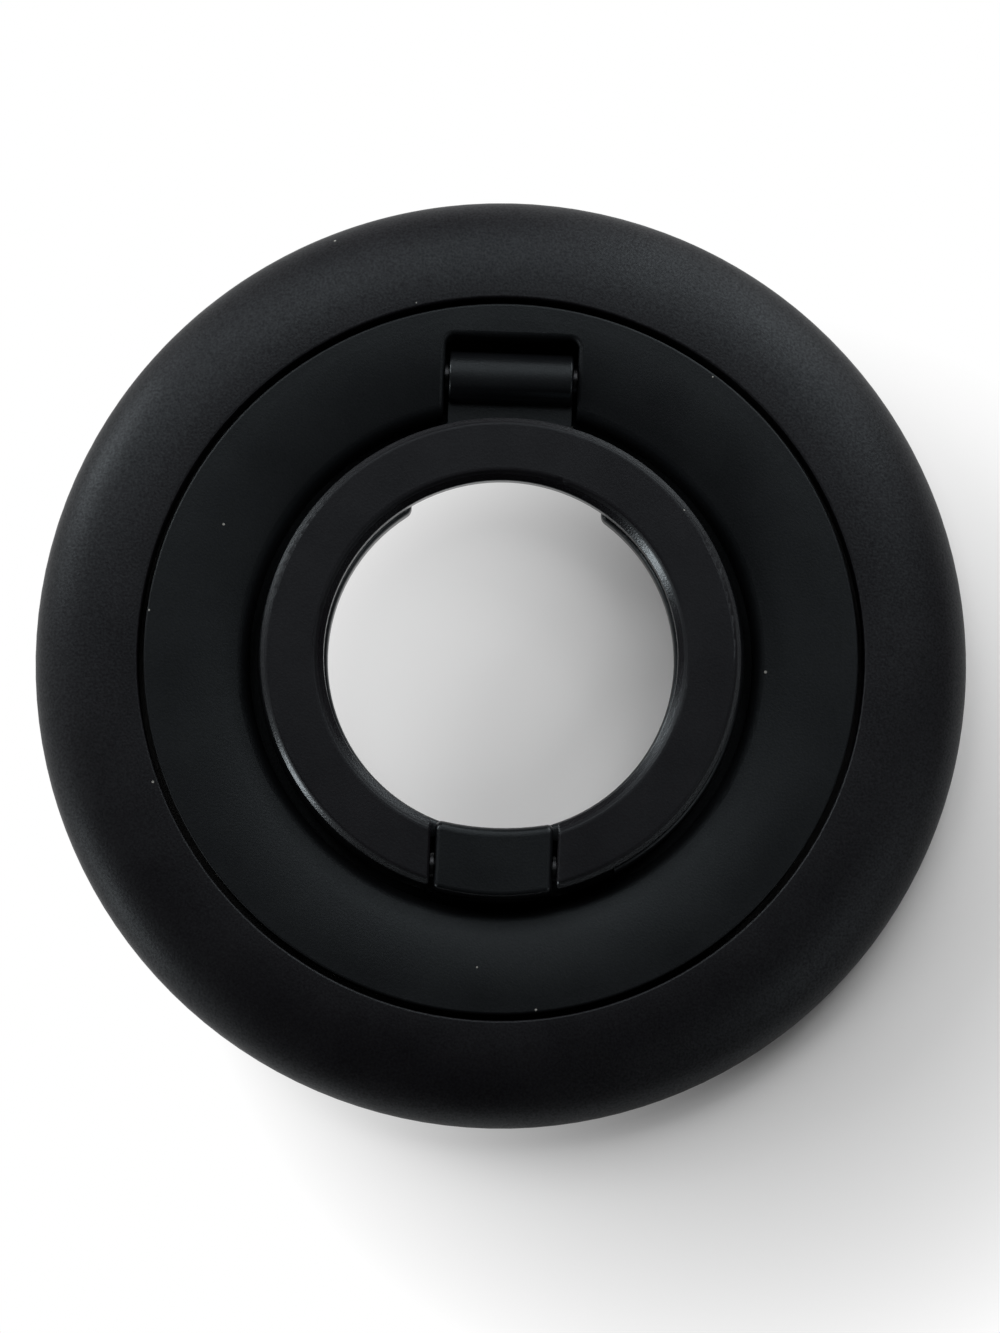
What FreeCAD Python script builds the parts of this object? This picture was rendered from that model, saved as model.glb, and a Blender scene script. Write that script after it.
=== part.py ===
import FreeCAD, Part
import math
import os

from FreeCAD import Vector

# Driving dimensions in millimetres.
# The origin is on the ring's axis, on the face that lies against the phone.
# +Z points away from the phone, and the bezel's hinge notch is on the +Y side.

# Layers of the base, from the phone upwards
pad_thickness = 0.8
tape_thickness = 0.1
plate_thickness = 0.8
upper_glide_thickness = 0.25
lower_glide_thickness = 0.12
retainer_thickness = 0.45
axial_play = 0.03

# Domed outer shell
rim_radius = 29.0
shell_width = 6.5
rim_height = 1.1
crown_height = 4.5
crown_land = 0.45
shell_underside_height = 0.5
rim_underside_reach = 0.45
rim_lip_width = 0.5
bore_wall = 1.0
lip_edge = 0.14

# Magnets and the steel behind them
magnet_width = 3.4
magnet_thickness = 1.0
magnet_groups = 6
magnets_per_group = 3
magnet_gap_angle = 0.3
yoke_width = 2.4
yoke_thickness = 0.4
pocket_clearance = 0.1

# Small countersunk screws of both screw circles
screw_radius = 0.6
screw_head_radius = 1.0
screw_head_height = 0.4
screw_length = 2.1
screw_slot_width = 0.3
screw_slot_depth = 0.2
boss_radius = 0.95
boss_inset = 1.4
retainer_screw_count = 6
retainer_screw_inset = 2.2

# Silicone pad and its tape
pad_inner_clearance = 0.5
pad_edge = 0.15
tape_margin = 0.3

# Turning bezel
spin_groove = 0.4
bezel_width = 6.45
bezel_land = 1.0
dish_depth = 0.8
well_edge = 0.7
well_floor_width = 3.75
hub_running_clearance = 0.06
retainer_inset = 0.3
retainer_width = 5.4

# Hinge between bezel and link
barrel_width = 7.7
barrel_radius = 1.6
barrel_edge = 0.15
barrel_floor_gap = 0.2
upper_hinge_setback = 1.95
notch_back_gap = 0.85
notch_corner_radius = 0.6
notch_edge = 0.3
notch_wall = 0.28
upper_pin_radius = 0.6
upper_pin_seat = 2.4
upper_sleeve_wall = 0.3

# Link ring
well_clearance = 0.55
link_width = 4.35
link_floor_gap = 0.35
link_height = 1.95
link_edge = 0.4
link_under_edge = 0.5
nail_recess_width = 11.8
nail_recess_depth = 1.2
nail_recess_corner = 0.6
block_width = 7.24
block_inner_overhang = 0.3
block_outer_overhang = 0.1
block_inner_arc_radius = 16.8
block_edge = 0.35
block_inner_edge = 0.6

# Finger ring and its hinge
finger_outer_inset = 0.25
finger_inner_inset = 0.2
finger_thickness = 1.9
finger_outer_edge = 0.5
finger_inner_edge = 0.75
finger_under_edge = 0.3
finger_end_edge = 0.2
ring_gap = 0.2
lower_hinge_setback = 1.75
lower_pin_radius = 0.45
lower_pin_blind_seat = 1.6
lower_pin_end_inset = 1.1
lower_sleeve_wall = 0.2
swing_clearance = 0.25

# Fits shared by pins, sleeves, screws and washers
press_clearance = 0.02
running_clearance = 0.04
hinge_side_gap = 0.3
hinge_washer_thickness = 0.2
hinge_washer_wall = 0.35
sleeve_slit = 0.25

# Heights and radii that follow from the driving dimensions
plate_bottom = pad_thickness + tape_thickness
plate_top = plate_bottom + plate_thickness
glide_top = plate_top + upper_glide_thickness
bezel_seat = glide_top + axial_play
hub_bottom = plate_bottom - axial_play - lower_glide_thickness
retainer_bottom = hub_bottom - retainer_thickness
shell_bore = rim_radius - shell_width
pocket_inner_radius = shell_bore + bore_wall
magnet_inner_radius = pocket_inner_radius + pocket_clearance
magnet_outer_radius = magnet_inner_radius + magnet_width
magnet_top = plate_top + magnet_thickness
yoke_outer_radius = magnet_inner_radius + yoke_width
yoke_top = magnet_top + yoke_thickness
boss_circle_radius = magnet_inner_radius + boss_inset
recess_radius = rim_radius - rim_underside_reach - rim_lip_width
plate_outer_radius = recess_radius - pocket_clearance
bezel_radius = shell_bore - spin_groove
pad_inner_radius = bezel_radius + pad_inner_clearance
well_radius = bezel_radius - bezel_width
well_hole_radius = well_radius - well_floor_width
well_floor_height = crown_height - 2 * barrel_radius - barrel_floor_gap
upper_axis_y = well_radius + upper_hinge_setback
upper_axis_z = crown_height - barrel_radius
notch_width = barrel_width + 2 * hinge_side_gap
notch_reach = upper_axis_y + barrel_radius + notch_back_gap
notch_corner_reach = notch_corner_radius + math.hypot(notch_width / 2 - notch_corner_radius,
                                                      notch_reach - notch_corner_radius)
hub_radius = notch_corner_reach + notch_wall
plate_bore = hub_radius + hub_running_clearance
retainer_outer_radius = bezel_radius - retainer_inset
retainer_inner_radius = retainer_outer_radius - retainer_width
spigot_radius = retainer_inner_radius - running_clearance
retainer_screw_circle_radius = hub_radius - retainer_screw_inset
link_outer_radius = well_radius - well_clearance
link_inner_radius = link_outer_radius - link_width
link_bottom = well_floor_height + link_floor_gap
link_top = link_bottom + link_height
finger_outer_radius = link_outer_radius - finger_outer_inset
finger_inner_radius = link_inner_radius + finger_inner_inset
finger_bottom = link_top + ring_gap
finger_top = finger_bottom + finger_thickness
finger_gap_width = block_width + 2 * hinge_side_gap
lower_axis_y = lower_hinge_setback - finger_outer_radius
lower_axis_z = finger_bottom + finger_thickness / 2
lower_bore_exit = math.sqrt(finger_outer_radius ** 2 - lower_axis_y ** 2)
block_inner_reach = finger_inner_radius - block_inner_overhang
block_outer_reach = finger_outer_radius + block_outer_overhang

# A quarter round pulls this share of the way to its corner
quarter_pull = 0.5523
tool_overrun = 1.0
z_axis = Vector(0, 0, 1)
x_axis = Vector(1, 0, 0)


def rounding(start, corner, end):
    """Edge that rounds a corner, an arc where both sides give up the same length."""
    before = start - corner
    after = end - corner
    if abs(before.Length - after.Length) < 1e-6:
        half_angle = before.getAngle(after) / 2
        reach = before.Length * (1 - math.sin(half_angle)) / math.cos(half_angle)
        middle = corner + (before + after).normalize() * reach
        return Part.Arc(start, middle, end).toShape()
    curve = Part.BezierCurve()
    curve.setPoles([start, start - before * quarter_pull, end - after * quarter_pull, end])
    return curve.toShape()


def rounded_edges(corners):
    """Edges of a closed outline in the XZ plane. Each corner is (r, z) or (r, z, before, after),
    where before and after are the lengths that its rounding takes from the two sides."""
    points = [Vector(corner[0], 0, corner[1]) for corner in corners]
    starts = []
    ends = []
    for index, corner in enumerate(corners):
        before, after = corner[2:] if len(corner) > 2 else (0, 0)
        back = (points[index - 1] - points[index]).normalize()
        ahead = (points[(index + 1) % len(points)] - points[index]).normalize()
        starts.append(points[index] + back * before)
        ends.append(points[index] + ahead * after)
    edges = []
    for index, corner in enumerate(points):
        if (starts[index] - ends[index]).Length > 1e-6:
            edges.append(rounding(starts[index], corner, ends[index]))
        following = starts[(index + 1) % len(points)]
        if (following - ends[index]).Length > 1e-6:
            edges.append(Part.LineSegment(ends[index], following).toShape())
    return edges


def turned(corners):
    """Solid turned about the ring's axis from an outline in the XZ plane."""
    face = Part.Face(Part.Wire(rounded_edges(corners)))
    return face.revolve(Vector(0, 0, 0), z_axis, 360)


def flat_ring(inner, outer, bottom, top, edge=0):
    """Plain ring with the same rounding on its four edges."""
    corner = (edge, edge)
    return turned([(inner, bottom) + corner, (outer, bottom) + corner,
                   (outer, top) + corner, (inner, top) + corner])


def rod_x(radius, left, right, y, z):
    """Round bar along X between two X positions."""
    return Part.makeCylinder(radius, right - left, Vector(left, y, z), x_axis)


def centred_box(width, front, back, bottom, top):
    """Box centred on X, between two Y positions and two heights."""
    return Part.makeBox(width, back - front, top - bottom, Vector(-width / 2, front, bottom))


def round_pattern(shape, count, first_angle=0.0):
    """Copies of a shape evenly turned about the ring's axis."""
    copies = []
    for index in range(count):
        copy = shape.copy()
        copy.rotate(Vector(0, 0, 0), z_axis, first_angle + index * 360.0 / count)
        copies.append(copy)
    return copies


def is_upright(edge):
    """True for a straight edge parallel to Z."""
    first, last = edge.Vertexes[0].Point, edge.Vertexes[-1].Point
    return math.hypot(first.x - last.x, first.y - last.y) < 1e-6 < abs(first.z - last.z)


def upright_edges(shape, test):
    """Upright edges whose lower or upper end passes the test."""
    return [edge for edge in shape.Edges if is_upright(edge) and test(edge.Vertexes[0].Point)]


def top_edges(shape, height):
    """Edges that lie wholly at the given height or above it."""
    return [edge for edge in shape.Edges if edge.BoundBox.ZMin > height - 1e-6]


def round_ends(shape):
    """Closed edges at both ends of a round bar."""
    return [edge for edge in shape.Edges if len(edge.Vertexes) == 1]


def bottom_edges(shape, height):
    """Edges that lie wholly at the given height or below it."""
    return [edge for edge in shape.Edges if edge.BoundBox.ZMax < height + 1e-6]


def countersunk_hole(radius_from_axis, bottom):
    """Tool for a screw hole whose head seat opens downwards at the given height."""
    clearance = press_clearance
    seat = Part.makeCone(screw_head_radius + clearance, screw_radius + clearance, screw_head_height,
                         Vector(radius_from_axis, 0, bottom))
    shank = Part.makeCylinder(screw_radius + clearance, screw_length + clearance,
                              Vector(radius_from_axis, 0, bottom))
    return seat.fuse(shank)


def countersunk_screw(radius_from_axis, bottom):
    """Screw with its head down, flush with the given height, and a cross slot in the head."""
    place = Vector(radius_from_axis, 0, bottom)
    head = Part.makeCone(screw_head_radius, screw_radius, screw_head_height, place)
    shank = Part.makeCylinder(screw_radius, screw_length, place)
    slot_length = 1.2 * screw_head_radius
    slots = []
    for length, width in ((slot_length, screw_slot_width), (screw_slot_width, slot_length)):
        corner = Vector(radius_from_axis - length / 2, -width / 2, bottom)
        slots.append(Part.makeBox(length, width, screw_slot_depth, corner))
    return head.fuse(shank).cut(slots).removeSplitter()


def boss_angle():
    """Angle of the screw bosses, half a magnet group away from +X."""
    return 180.0 / magnet_groups


def outer_shell():
    """Domed ring, hollowed from below for the magnets, with bosses for the base screws."""
    dome_run = rim_radius - shell_bore - crown_land
    dome_rise = crown_height - rim_height
    body = turned([
        (shell_bore, plate_top),
        (shell_bore, crown_height, lip_edge, lip_edge),
        (rim_radius, crown_height, dome_run, dome_rise),
        (rim_radius, shell_underside_height, rim_height - shell_underside_height, rim_underside_reach),
        (recess_radius, shell_underside_height),
        (recess_radius, plate_top),
        (magnet_outer_radius + pocket_clearance, plate_top),
        (magnet_outer_radius + pocket_clearance, magnet_top),
        (yoke_outer_radius + pocket_clearance, yoke_top),
        (pocket_inner_radius, yoke_top),
        (pocket_inner_radius, plate_top),
    ])
    boss_height = yoke_top - plate_top + lip_edge
    boss = Part.makeCylinder(boss_radius, boss_height, Vector(boss_circle_radius, 0, plate_top))
    hole = countersunk_hole(boss_circle_radius, plate_bottom)
    body = body.fuse(round_pattern(boss, magnet_groups, boss_angle()))
    return body.cut(round_pattern(hole, magnet_groups, boss_angle())).removeSplitter()


def magnets():
    """Arc magnets in groups between the screw bosses."""
    boss_half_angle = math.degrees(math.asin((boss_radius + pocket_clearance) / magnet_inner_radius))
    group_angle = 360.0 / magnet_groups - 2 * boss_half_angle
    arc_angle = (group_angle - (magnets_per_group - 1) * magnet_gap_angle) / magnets_per_group
    outline = [(magnet_inner_radius, plate_top), (magnet_outer_radius, plate_top),
               (magnet_outer_radius, magnet_top), (magnet_inner_radius, magnet_top)]
    arc = Part.Face(Part.Wire(rounded_edges(outline))).revolve(Vector(0, 0, 0), z_axis, arc_angle)
    solids = []
    for index in range(magnets_per_group):
        first_angle = index * (arc_angle + magnet_gap_angle) - group_angle / 2
        solids += round_pattern(arc, magnet_groups, first_angle)
    return Part.makeCompound(solids)


def yoke_ring():
    """Steel ring on the magnets, pierced where the screw bosses pass."""
    ring = flat_ring(magnet_inner_radius, yoke_outer_radius, magnet_top, yoke_top)
    pierced = Part.makeCylinder(boss_radius + pocket_clearance, yoke_thickness,
                                Vector(boss_circle_radius, 0, magnet_top))
    return ring.cut(round_pattern(pierced, magnet_groups, boss_angle()))


def base_plate():
    """Ring that closes the shell and carries the bezel on its inner edge."""
    ring = flat_ring(plate_bore, plate_outer_radius, plate_bottom, plate_top)
    hole = countersunk_hole(boss_circle_radius, plate_bottom)
    return ring.cut(round_pattern(hole, magnet_groups, boss_angle()))


def base_screws():
    screw = countersunk_screw(boss_circle_radius, plate_bottom)
    return Part.makeCompound(round_pattern(screw, magnet_groups, boss_angle()))


def pad_tape():
    inner = pad_inner_radius + tape_margin
    outer = plate_outer_radius - tape_margin
    return flat_ring(inner, outer, pad_thickness, plate_bottom)


def grip_pad():
    return flat_ring(pad_inner_radius, plate_outer_radius, 0, pad_thickness, pad_edge)


def upper_glide_washer():
    return flat_ring(plate_bore, bezel_radius, plate_top, glide_top)


def lower_glide_washer():
    return flat_ring(plate_bore, retainer_outer_radius, hub_bottom, hub_bottom + lower_glide_thickness)


def retainer_ring():
    """Plate under the hub that reaches under the base plate's inner edge."""
    ring = flat_ring(retainer_inner_radius, retainer_outer_radius, retainer_bottom, hub_bottom)
    hole = countersunk_hole(retainer_screw_circle_radius, retainer_bottom)
    return ring.cut(round_pattern(hole, retainer_screw_count))


def retainer_screws():
    screw = countersunk_screw(retainer_screw_circle_radius, retainer_bottom)
    return Part.makeCompound(round_pattern(screw, retainer_screw_count))


def upper_pin_half_length():
    return notch_width / 2 + upper_pin_seat


def bezel():
    """Dished ring with a notch for the barrel, a cross bore for the hinge pin and a spigot
    that centres the retainer ring."""
    dish_run = bezel_width - bezel_land - well_edge
    dish_angle = 2 * math.atan(dish_depth / dish_run)
    dish_side = dish_run / (1 + math.cos(dish_angle))
    dish_corner = bezel_radius - bezel_land - dish_side
    edge_side = well_edge / math.cos(dish_angle)
    edge_height = crown_height - dish_depth - well_edge * math.tan(dish_angle)
    body = turned([
        (well_hole_radius, retainer_bottom),
        (spigot_radius, retainer_bottom),
        (spigot_radius, hub_bottom),
        (hub_radius, hub_bottom),
        (hub_radius, bezel_seat),
        (bezel_radius, bezel_seat),
        (bezel_radius, crown_height, lip_edge, lip_edge),
        (dish_corner, crown_height, dish_side, dish_side),
        (well_radius, edge_height, edge_side, edge_side),
        (well_radius, well_floor_height),
        (well_hole_radius, well_floor_height, lip_edge, lip_edge),
    ])
    notch = centred_box(notch_width, well_hole_radius, notch_reach, well_floor_height,
                        crown_height + tool_overrun)
    corners = upright_edges(notch, lambda end: end.y > well_radius)
    notch = notch.makeFillet(notch_corner_radius, corners)
    body = body.cut(notch).removeSplitter()
    body = body.makeFillet(notch_edge, notch_mouth(body))
    bore = rod_x(upper_pin_radius + press_clearance, -upper_pin_half_length() - press_clearance,
                 bezel_radius, upper_axis_y, upper_axis_z)
    hole = countersunk_hole(retainer_screw_circle_radius, retainer_bottom)
    return body.cut([bore] + round_pattern(hole, retainer_screw_count)).removeSplitter()


def notch_mouth(body):
    """Edges where the notch's walls meet the dished upper face of the bezel."""
    mouth = []
    for edge in body.Edges:
        middle = edge.valueAt((edge.FirstParameter + edge.LastParameter) / 2)
        in_plan = abs(middle.x) < notch_width / 2 + 1e-6 and well_radius < middle.y < notch_reach + 1e-6
        if in_plan and middle.z > well_floor_height + 1e-6 and not is_upright(edge):
            mouth.append(edge)
    return mouth


def upper_hinge_pin():
    half = upper_pin_half_length()
    return rod_x(upper_pin_radius, -half, half, upper_axis_y, upper_axis_z)


def slit_sleeve(pin_radius, wall, width, axis_y, axis_z):
    """Split tube that grips the pin inside a knuckle, with its slit downwards."""
    bore = pin_radius + running_clearance
    tube = rod_x(bore + wall, -width / 2, width / 2, axis_y, axis_z)
    half_slit = sleeve_slit / 2
    slit = centred_box(width, axis_y - half_slit, axis_y + half_slit, axis_z - bore - 2 * wall, axis_z)
    return tube.cut([rod_x(bore, -width / 2, width / 2, axis_y, axis_z), slit])


def sleeve_bore_radius(pin_radius, wall):
    return pin_radius + running_clearance + wall + press_clearance


def hinge_washers(pin_radius, knuckle_width, axis_y, axis_z):
    """A thin washer in the middle of the gap at each end of a knuckle."""
    inner = pin_radius + running_clearance
    washers = []
    for side in (-1, 1):
        middle = side * (knuckle_width + hinge_side_gap) / 2
        left = middle - hinge_washer_thickness / 2
        right = middle + hinge_washer_thickness / 2
        disc = rod_x(inner + hinge_washer_wall, left, right, axis_y, axis_z)
        washers.append(disc.cut(rod_x(inner, left, right, axis_y, axis_z)))
    return Part.makeCompound(washers)


def upper_hinge_washers():
    return hinge_washers(upper_pin_radius, barrel_width, upper_axis_y, upper_axis_z)


def upper_friction_sleeve():
    return slit_sleeve(upper_pin_radius, upper_sleeve_wall, barrel_width, upper_axis_y, upper_axis_z)


def lower_hinge_washers():
    return hinge_washers(lower_pin_radius, block_width, lower_axis_y, lower_axis_z)


def lower_friction_sleeve():
    return slit_sleeve(lower_pin_radius, lower_sleeve_wall, block_width, lower_axis_y, lower_axis_z)


def link_block():
    """Knuckle that stands on the link ring between the ends of the finger ring."""
    arc_centre_y = block_inner_arc_radius - block_inner_reach
    base_height = link_bottom + link_under_edge
    height = finger_top - base_height
    block = Part.makeCylinder(block_outer_reach, height, Vector(0, 0, base_height))
    block = block.common(centred_box(block_width, -block_outer_reach, 0, base_height, finger_top))
    inside = Part.makeCylinder(block_inner_arc_radius, height, Vector(0, arc_centre_y, base_height))
    block = block.cut(inside)
    inner_top = [edge for edge in top_edges(block, finger_top) if edge.BoundBox.YMin > lower_axis_y]
    inner_arc = max(inner_top, key=lambda edge: edge.Length)
    block = block.makeFillet(block_inner_edge, [inner_arc])
    block = block.makeFillet(block_edge, upright_edges(block, lambda end: end.y < lower_axis_y))
    return block.makeFillet(block_edge, top_edges(block, finger_top))


def link_ring():
    """Lower ring with the barrel, its neck, the fingernail recess and the block."""
    ring = flat_ring(link_inner_radius, link_outer_radius, link_bottom, link_top)
    recess = Part.makeCylinder(link_inner_radius + nail_recess_depth, link_height, Vector(0, 0, link_bottom))
    recess = recess.common(centred_box(nail_recess_width, 0, link_outer_radius, link_bottom, link_top))
    ring = ring.cut(recess)
    half_recess = nail_recess_width / 2
    corners = upright_edges(ring, lambda end: abs(abs(end.x) - half_recess) < 1e-6)
    ring = ring.makeFillet(nail_recess_corner, corners)
    ring = ring.makeFillet(link_edge, top_edges(ring, link_top))
    ring = ring.makeFillet(link_under_edge, bottom_edges(ring, link_bottom))
    neck_start = (link_inner_radius + nail_recess_depth + link_outer_radius) / 2
    neck = centred_box(barrel_width, neck_start, upper_axis_y, link_bottom, upper_axis_z)
    barrel = rod_x(barrel_radius, -barrel_width / 2, barrel_width / 2, upper_axis_y, upper_axis_z)
    barrel = barrel.makeFillet(barrel_edge, round_ends(barrel))
    swing = math.hypot(finger_outer_radius + lower_axis_y, finger_thickness / 2) + swing_clearance
    scoop_reach = lower_bore_exit + 2 * swing_clearance
    scoop = rod_x(swing, -scoop_reach, scoop_reach, lower_axis_y, lower_axis_z)
    body = ring.cut(scoop).fuse([neck, barrel, link_block()])
    upper_bore = sleeve_bore_radius(upper_pin_radius, upper_sleeve_wall)
    lower_bore = sleeve_bore_radius(lower_pin_radius, lower_sleeve_wall)
    body = body.cut([
        rod_x(upper_bore, -barrel_width, barrel_width, upper_axis_y, upper_axis_z),
        rod_x(lower_bore, -block_width, block_width, lower_axis_y, lower_axis_z),
    ])
    return body.removeSplitter()


def finger_ring():
    """C-shaped ring whose ends take the lower hinge pin."""
    under = (finger_under_edge, finger_under_edge)
    ring = turned([
        (finger_inner_radius, finger_bottom) + under,
        (finger_outer_radius, finger_bottom) + under,
        (finger_outer_radius, finger_top, finger_outer_edge, finger_outer_edge),
        (finger_inner_radius, finger_top, finger_inner_edge, finger_inner_edge),
    ])
    gap = centred_box(finger_gap_width, -finger_outer_radius - tool_overrun, 0, finger_bottom, finger_top)
    ring = ring.cut(gap)
    half_gap = finger_gap_width / 2
    end_faces = [face for face in ring.Faces if face.BoundBox.XLength < 1e-6]
    ring = ring.makeFillet(finger_end_edge, [edge for face in end_faces for edge in face.Edges])
    bore = rod_x(lower_pin_radius + press_clearance, -half_gap - lower_pin_blind_seat - press_clearance,
                 finger_outer_radius, lower_axis_y, lower_axis_z)
    return ring.cut(bore)


def lower_hinge_pin():
    left = -finger_gap_width / 2 - lower_pin_blind_seat
    right = lower_bore_exit - lower_pin_end_inset
    return rod_x(lower_pin_radius, left, right, lower_axis_y, lower_axis_z)


PIECES = [
    outer_shell, magnets, yoke_ring, base_plate, base_screws, pad_tape, grip_pad, upper_glide_washer,
    bezel, retainer_ring, retainer_screws, lower_glide_washer, upper_hinge_pin, upper_hinge_washers,
    link_ring, upper_friction_sleeve, lower_friction_sleeve,
    finger_ring, lower_hinge_pin, lower_hinge_washers,
]

os.makedirs("parts", exist_ok=True)
for piece in PIECES:
    shape = piece()
    shape.exportStep("parts/" + piece.__name__ + ".step")
    print(piece.__name__, len(shape.Solids), shape.isValid(), round(shape.Volume, 2))
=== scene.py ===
import math

import bpy
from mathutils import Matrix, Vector

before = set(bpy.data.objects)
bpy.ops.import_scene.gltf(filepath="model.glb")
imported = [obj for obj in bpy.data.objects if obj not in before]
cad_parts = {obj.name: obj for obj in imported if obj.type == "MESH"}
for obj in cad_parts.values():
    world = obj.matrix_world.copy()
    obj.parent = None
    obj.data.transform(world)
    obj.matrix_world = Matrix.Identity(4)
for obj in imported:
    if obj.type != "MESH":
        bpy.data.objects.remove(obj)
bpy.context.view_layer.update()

MM = 0.001

# The photograph's frame and the camera fitted to it
PHOTO_HEIGHT_PX = 1333
PIXELS_PER_MM = 16.04
CAMERA_AZIMUTH = math.radians(2.1)
CAMERA_ELEVATION = math.radians(83.85)
CAMERA_DISTANCE = 400 * MM
AIM_POINT = Vector((-0.04, -0.23, 1.0)) * MM
SENSOR_SIZE_MM = 36.0
CLIP_START = 10 * MM
CLIP_END = 10.0

# Grain and slow clouds that every finish shows: the noise values that they run between, and their detail
GRAIN_SPAN = (0.3, 0.7)
GRAIN_DETAIL = 2.0
CLOUD_SPAN = (0.35, 0.65)
CLOUD_DETAIL = 3.0
CLOUD_SIZE = 5.0 * MM

# Lint on the black metal
LINT_SPACING = 2.6 * MM
LINT_RADIUS = 0.11 * MM
LINT_COLOUR = "#8c8c88"

# Dyes of the black metal from cloud to cloud, and the dullness that blasting gives it
VIOLET_BLACK = ("#0d0b0e", "#100e11")
COLD_BLACK = ("#0a0b0d", "#0c0d0f")
BLASTED_ROUGHNESS = (0.46, 0.52)

# Upright part of the normal, up or down, between which a rubbed edge turns into a flat face
EDGE_FLATNESS = (0.83, 0.93)

# Upward part of the normal between which a bevel turns into the top face, and the side into the bevel
BEVEL_TOP = (0.95, 0.985)
BEVEL_SIDE = (0.1, 0.25)
SIDEWAYS = (1, 1, 0)
UP = (0, 0, 1)

# Sockets of the Mix node by number, because their names repeat
MIX_SHARE = 0
MIX_VECTORS = (4, 5)
MIX_COLOURS = (6, 7)
MIXED_VECTOR = 1
MIXED_COLOUR = 2

# The floor, and its white share as the camera and reflections see it: at the middle, its change to the right
# and up, and its growth with the square of the distance from the middle. This share is painted light and
# shade: whiter to the upper left and far out, darker to the lower right and near the middle, where shade
# falls
FLOOR_SIZE = 4.0
FLOOR_COLOUR = "#f8f8f8"
FLOOR_ROUGHNESS = 0.9
FLOOR_PAINTED_LIGHT_AT_MIDDLE = 0.2
FLOOR_PAINTED_LIGHT_SLOPE = Vector((-0.0295, 0.0222, 0.0)) / MM
FLOOR_PAINTED_LIGHT_GROWTH = 0.00098 / MM ** 2

# Soft lamps of the studio, in degrees and metres. Azimuth is clockwise from the top of the photograph,
# and level 1 makes a white card that faces the lamp white.
LAMPS = {
    "low_right_of_top": dict(azimuth=30, elevation=20, distance=0.2, size=0.12, level=0.391),
    "low_left_of_top": dict(azimuth=300, elevation=16, distance=0.7, size=0.2, level=0.4),
    "high_left_of_top": dict(azimuth=330, elevation=45, distance=0.2, size=0.12, level=0.334),
    "low_left": dict(azimuth=242, elevation=7, distance=0.7, size=0.16, level=0.19),
    "high_right_of_top": dict(azimuth=30, elevation=45, distance=0.2, size=0.12, level=0.263),
    "fill_right": dict(azimuth=120, elevation=35, distance=0.7, size=0.33, level=0.13),
}


def linear(hex_colour):
    """Linear RGBA of an sRGB hex colour."""
    channels = [int(hex_colour[i:i + 2], 16) / 255 for i in (1, 3, 5)]
    return [c / 12.92 if c <= 0.04045 else ((c + 0.055) / 1.055) ** 2.4 for c in channels] + [1.0]


def add_node(tree, kind, inputs=None, **settings):
    """Adds a node with its settings. Inputs are values, or sockets to link from."""
    node = tree.nodes.new(kind)
    for name, value in settings.items():
        setattr(node, name, value)
    for name, value in (inputs or {}).items():
        if isinstance(value, bpy.types.NodeSocket):
            tree.links.new(value, node.inputs[name])
        else:
            node.inputs[name].default_value = value
    return node


def new_material(name):
    """A new node material with its tree and its Principled shader."""
    material = bpy.data.materials.new(name)
    material.use_nodes = True
    return material, material.node_tree, material.node_tree.nodes["Principled BSDF"]


def bevel_normal(tree, normal, upward):
    """Normal that leans outwards by 45 degrees on a rounded upper edge, and elsewhere is the face's own."""
    outward = add_node(tree, "ShaderNodeVectorMath", {0: normal, 1: SIDEWAYS}, operation="MULTIPLY")
    level = add_node(tree, "ShaderNodeVectorMath", {0: outward.outputs["Vector"]}, operation="NORMALIZE")
    leaning = add_node(tree, "ShaderNodeVectorMath", {0: level.outputs["Vector"], 1: UP}, operation="ADD")
    bevel = add_node(tree, "ShaderNodeVectorMath", {0: leaning.outputs["Vector"]}, operation="NORMALIZE")
    below_top = add_node(tree, "ShaderNodeMapRange", {
        "Value": upward, "From Min": BEVEL_TOP[0], "From Max": BEVEL_TOP[1], "To Min": 1.0, "To Max": 0.0})
    above_side = add_node(tree, "ShaderNodeMapRange", {
        "Value": upward, "From Min": BEVEL_SIDE[0], "From Max": BEVEL_SIDE[1]})
    share = add_node(tree, "ShaderNodeMath", {
        0: below_top.outputs["Result"], 1: above_side.outputs["Result"]}, operation="MULTIPLY")
    mixed = add_node(tree, "ShaderNodeMix", {
        MIX_SHARE: share.outputs["Value"], MIX_VECTORS[0]: normal, MIX_VECTORS[1]: bevel.outputs["Vector"]},
        data_type="VECTOR")
    turned = add_node(tree, "ShaderNodeVectorTransform", {"Vector": mixed.outputs[MIXED_VECTOR]},
                      vector_type="NORMAL", convert_from="OBJECT", convert_to="WORLD")
    return turned.outputs["Vector"]


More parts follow.
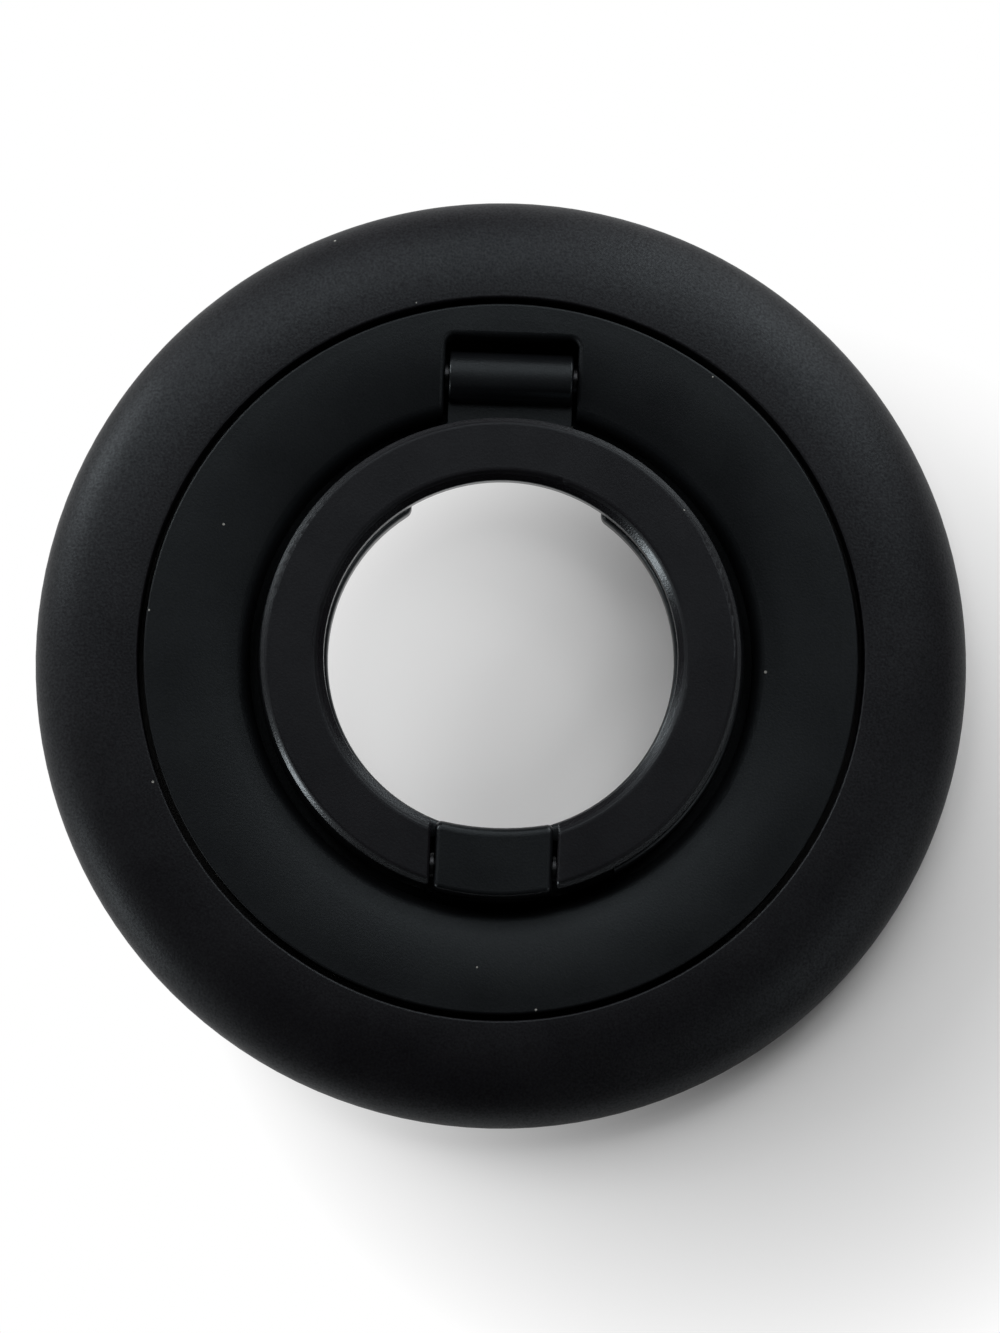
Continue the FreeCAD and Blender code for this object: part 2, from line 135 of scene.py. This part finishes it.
def finish(name, colours, roughness, grain_size, grain_depth, glint=(0.45, 0.55), stretch=(1, 1, 1),
           rubbed=(1, 1), bevelled=False, **inputs):
    """A real finish. Grain of its own size dents the face and makes its reflection sparkle between the two
    glint levels, and slow clouds lead from one colour and roughness to the other. On steep faces, such as
    rounded edges, rubbed multiplies the roughness and the reflection. If bevelled, its rounded upper edges
    are shaded as flat bevels."""
    material, tree, shader = new_material(name)
    for label, value in inputs.items():
        shader.inputs[label.replace("_", " ")].default_value = value
    coordinates = add_node(tree, "ShaderNodeTexCoord")
    place = coordinates.outputs["Object"]
    normal = coordinates.outputs["Normal"]
    along = add_node(tree, "ShaderNodeMapping", {"Vector": place, "Scale": stretch})
    grain = add_node(tree, "ShaderNodeTexNoise", {
        "Vector": along.outputs["Vector"], "Scale": 1 / grain_size, "Detail": GRAIN_DETAIL})
    bump = add_node(tree, "ShaderNodeBump", {"Height": grain.outputs["Fac"], "Distance": grain_depth})
    sparkle = add_node(tree, "ShaderNodeMapRange", {
        "Value": grain.outputs["Fac"], "From Min": GRAIN_SPAN[0], "From Max": GRAIN_SPAN[1],
        "To Min": glint[0], "To Max": glint[1]})
    cloud = add_node(tree, "ShaderNodeTexNoise", {
        "Vector": place, "Scale": 1 / CLOUD_SIZE, "Detail": CLOUD_DETAIL})
    share = add_node(tree, "ShaderNodeMapRange", {
        "Value": cloud.outputs["Fac"], "From Min": CLOUD_SPAN[0], "From Max": CLOUD_SPAN[1]})
    tone = add_node(tree, "ShaderNodeMix", {
        MIX_SHARE: share.outputs["Result"], MIX_COLOURS[0]: linear(colours[0]),
        MIX_COLOURS[1]: linear(colours[1])}, data_type="RGBA")
    sheen = add_node(tree, "ShaderNodeMapRange", {
        "Value": share.outputs["Result"], "To Min": roughness[0], "To Max": roughness[1]})
    facing = add_node(tree, "ShaderNodeSeparateXYZ", {"Vector": normal})
    flatness = add_node(tree, "ShaderNodeMath", {0: facing.outputs["Z"]}, operation="ABSOLUTE")
    for level, factor, socket in (
        (sheen, rubbed[0], "Roughness"),
        (sparkle, rubbed[1], "Specular IOR Level"),
    ):
        change = add_node(tree, "ShaderNodeMapRange", {
            "Value": flatness.outputs["Value"], "From Min": EDGE_FLATNESS[0], "From Max": EDGE_FLATNESS[1],
            "To Min": factor, "To Max": 1.0})
        changed = add_node(tree, "ShaderNodeMath", {
            0: level.outputs["Result"], 1: change.outputs["Result"]}, operation="MULTIPLY")
        tree.links.new(changed.outputs["Value"], shader.inputs[socket])
    if bevelled:
        tree.links.new(bevel_normal(tree, normal, facing.outputs["Z"]), bump.inputs["Normal"])
    tree.links.new(bump.outputs["Normal"], shader.inputs["Normal"])
    tree.links.new(tone.outputs[MIXED_COLOUR], shader.inputs["Base Color"])
    return material


def add_lint(material):
    """Sparse pale specks of lint, of many sizes up to LINT_RADIUS, over the material's own colour."""
    tree = material.node_tree
    base = tree.nodes["Principled BSDF"].inputs["Base Color"]
    own_colour = base.links[0].from_socket
    place = add_node(tree, "ShaderNodeTexCoord").outputs["Object"]
    cells = add_node(tree, "ShaderNodeTexVoronoi", {"Vector": place, "Scale": 1 / LINT_SPACING})
    chance = add_node(tree, "ShaderNodeSeparateColor", {"Color": cells.outputs["Color"]})
    reach = add_node(tree, "ShaderNodeMath", {
        0: chance.outputs["Green"], 1: LINT_RADIUS / LINT_SPACING}, operation="MULTIPLY")
    speck = add_node(tree, "ShaderNodeMath", {
        0: cells.outputs["Distance"], 1: reach.outputs["Value"]}, operation="LESS_THAN")
    seen = add_node(tree, "ShaderNodeMix", {
        MIX_SHARE: speck.outputs["Value"], MIX_COLOURS[0]: own_colour, MIX_COLOURS[1]: linear(LINT_COLOUR)},
        data_type="RGBA")
    tree.links.new(seen.outputs[MIXED_COLOUR], base)


def finishes():
    """The real material of each node."""
    cool_sheen = linear("#eaf8ff")
    fine_grain = dict(grain_size=0.13 * MM, grain_depth=0.01 * MM, glint=(0.22, 0.28))
    # Bead-blasted metal under violet-black dye: a lively grain, a soft sheen, a few specks of lint. Blasted
    # grain is about as fine as a pixel, so on all the black metal it is drawn a little coarser to show.
    outer_black = finish("blasted_black_aluminium", VIOLET_BLACK, BLASTED_ROUGHNESS, grain_size=0.15 * MM,
                         grain_depth=0.012 * MM, glint=(0.16, 0.34), Specular_Tint=cool_sheen)
    # The same metal blasted finer: calmer, with bevelled edges that hands have rubbed until they shine
    finger_black = finish("rubbed_black_aluminium", VIOLET_BLACK, BLASTED_ROUGHNESS, **fine_grain,
                          rubbed=(0.52, 2.3), bevelled=True, Specular_Tint=cool_sheen)
    # As fine, but dyed a colder black, with round edges that are less rubbed
    link_black = finish("rubbed_cold_black_aluminium", COLD_BLACK, BLASTED_ROUGHNESS, **fine_grain,
                        rubbed=(0.65, 1.4), Specular_Tint=cool_sheen)
    # The same cold black where no hand reaches: even and calm up to its edges
    bezel_black = finish("cold_black_aluminium", COLD_BLACK, BLASTED_ROUGHNESS, **fine_grain,
                         Specular_Tint=cool_sheen)
    for black in (outer_black, finger_black, link_black, bezel_black):
        add_lint(black)
    # Moulded nylon with glass in it: dull dark grey with a pebbled skin
    nylon = finish("moulded_nylon", ("#161616", "#1c1c1c"), roughness=(0.5, 0.62), grain_size=0.3 * MM,
                   grain_depth=0.02 * MM)
    # Nickel plate on a sintered magnet: bright and slightly warm, with a faint uneven mirror
    nickel = finish("nickel_plate", ("#c2bfb6", "#b3b0a8"), roughness=(0.2, 0.3), grain_size=0.4 * MM,
                    grain_depth=0.004 * MM, Metallic=1.0)
    # Blackened steel of the hinges: dark, with fine turned lines that leave only a small glint
    dark_steel = finish("blackened_steel", ("#3c3d3f", "#2e2f31"), roughness=(0.3, 0.4), grain_size=0.06 * MM,
                        grain_depth=0.003 * MM, stretch=(1.0, 0.05, 0.05), Metallic=1.0)
    # Bright stainless steel of the ring plates and screws: rolled, with short fine streaks
    bright_steel = finish("stainless_steel", ("#b9bbbd", "#a5a8ab"), roughness=(0.28, 0.36),
                          grain_size=0.06 * MM, grain_depth=0.003 * MM, stretch=(0.05, 1.0, 1.0),
                          Metallic=1.0)
    # Natural acetal: milky white and waxy
    acetal = finish("natural_acetal", ("#dcd9cc", "#d2cfc2"), roughness=(0.36, 0.44), grain_size=0.2 * MM,
                    grain_depth=0.004 * MM)
    # Acrylic tape: dark film with a slightly wavy, half-glossy face
    tape = finish("acrylic_tape", ("#1f1f1f", "#272727"), roughness=(0.3, 0.42), grain_size=0.6 * MM,
                  grain_depth=0.01 * MM)
    # Soft silicone: very dull black with a velvety edge
    silicone = finish("soft_silicone", ("#151516", "#1a1a1b"), roughness=(0.7, 0.8), grain_size=0.2 * MM,
                      grain_depth=0.008 * MM, Sheen_Weight=0.15)
    return {
        "outer_shell": outer_black,
        "finger_ring": finger_black,
        "bezel": bezel_black,
        "link_ring": link_black,
        "base_plate": nylon,
        "magnets": nickel,
        "yoke_ring": bright_steel,
        "retainer_ring": bright_steel,
        "base_screws": bright_steel,
        "retainer_screws": bright_steel,
        "upper_hinge_pin": dark_steel,
        "lower_hinge_pin": dark_steel,
        "upper_hinge_washers": dark_steel,
        "lower_hinge_washers": dark_steel,
        "upper_friction_sleeve": dark_steel,
        "lower_friction_sleeve": dark_steel,
        "upper_glide_washer": acetal,
        "lower_glide_washer": acetal,
        "pad_tape": tape,
        "grip_pad": silicone,
    }


def photo_camera():
    """Camera at the photograph's viewing angle and framing."""
    camera = bpy.data.cameras.new("photo_camera")
    frame_height = PHOTO_HEIGHT_PX / PIXELS_PER_MM * MM
    camera.sensor_width = SENSOR_SIZE_MM
    camera.lens = SENSOR_SIZE_MM * CAMERA_DISTANCE / frame_height
    camera.clip_start = CLIP_START
    camera.clip_end = CLIP_END
    back = Vector((
        math.sin(CAMERA_AZIMUTH) * math.cos(CAMERA_ELEVATION),
        -math.cos(CAMERA_AZIMUTH) * math.cos(CAMERA_ELEVATION),
        math.sin(CAMERA_ELEVATION),
    ))
    holder = bpy.data.objects.new("photo_camera", camera)
    holder.location = AIM_POINT + back * CAMERA_DISTANCE
    holder.rotation_euler = back.to_track_quat("Z", "Y").to_euler()
    bpy.context.collection.objects.link(holder)
    bpy.context.scene.camera = holder


def softbox(name, azimuth, elevation, distance, size, level):
    """Square area light that faces the object."""
    lamp = bpy.data.lights.new(name, "AREA")
    lamp.size = size
    lamp.energy = level * (math.pi * distance) ** 2
    turn = math.radians(azimuth)
    lift = math.radians(elevation)
    towards = Vector((math.sin(turn) * math.cos(lift), math.cos(turn) * math.cos(lift), math.sin(lift)))
    holder = bpy.data.objects.new(name, lamp)
    holder.location = towards * distance
    holder.rotation_euler = towards.to_track_quat("Z", "Y").to_euler()
    bpy.context.collection.objects.link(holder)


def pale_floor_with_painted_shade():
    """Matte white floor. To the camera and in reflections it is partly plain white, more so at upper left:
    painted light there, and painted shade towards the lower right and near the middle.
    """
    half = FLOOR_SIZE / 2
    corners = [(-half, -half, 0), (half, -half, 0), (half, half, 0), (-half, half, 0)]
    mesh = bpy.data.meshes.new("floor")
    mesh.from_pydata(corners, [], [(0, 1, 2, 3)])
    floor = bpy.data.objects.new("floor", mesh)
    bpy.context.collection.objects.link(floor)
    material, tree, shader = new_material("white_paper_with_painted_shade")
    shader.inputs["Base Color"].default_value = linear(FLOOR_COLOUR)
    shader.inputs["Roughness"].default_value = FLOOR_ROUGHNESS
    place = add_node(tree, "ShaderNodeTexCoord").outputs["Object"]
    # Painted light and shade: plain white that grows to the upper left and away from the middle, less near
    # the object
    painted_light_tilt = add_node(tree, "ShaderNodeVectorMath", {0: place, 1: FLOOR_PAINTED_LIGHT_SLOPE}, operation="DOT_PRODUCT")
    painted_light_sloped = add_node(tree, "ShaderNodeMath", {0: painted_light_tilt.outputs["Value"], 1: FLOOR_PAINTED_LIGHT_AT_MIDDLE}, operation="ADD")
    square = add_node(tree, "ShaderNodeVectorMath", {0: place, 1: place}, operation="DOT_PRODUCT")
    share = add_node(tree, "ShaderNodeMath", {
        0: square.outputs["Value"], 1: FLOOR_PAINTED_LIGHT_GROWTH, 2: painted_light_sloped.outputs["Value"]},
        operation="MULTIPLY_ADD", use_clamp=True)
    ray = add_node(tree, "ShaderNodeLightPath")
    shown = ray.outputs["Is Camera Ray"]
    for other in ("Is Glossy Ray", "Is Transmission Ray"):
        either = add_node(tree, "ShaderNodeMath", {0: shown, 1: ray.outputs[other]}, operation="MAXIMUM")
        shown = either.outputs["Value"]
    painted_white_seen = add_node(tree, "ShaderNodeMath", {0: share.outputs["Value"], 1: shown}, operation="MULTIPLY")
    white = add_node(tree, "ShaderNodeEmission", {"Strength": 1.0})
    mixed = add_node(tree, "ShaderNodeMixShader", {
        0: painted_white_seen.outputs["Value"], 1: shader.outputs["BSDF"], 2: white.outputs["Emission"]})
    tree.links.new(mixed.outputs["Shader"], tree.nodes["Material Output"].inputs["Surface"])
    mesh.materials.append(material)


def dark_world():
    """World without light of its own: the lamps give it all."""
    world = bpy.data.worlds.new("studio")
    world.use_nodes = True
    world.node_tree.nodes["Background"].inputs["Strength"].default_value = 0.0
    bpy.context.scene.world = world


for name, material in finishes().items():
    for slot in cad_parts[name].material_slots:
        slot.material = material

photo_camera()
pale_floor_with_painted_shade()
for name, lamp in LAMPS.items():
    softbox(name, **lamp)
dark_world()
bpy.context.scene.view_settings.view_transform = "Standard"
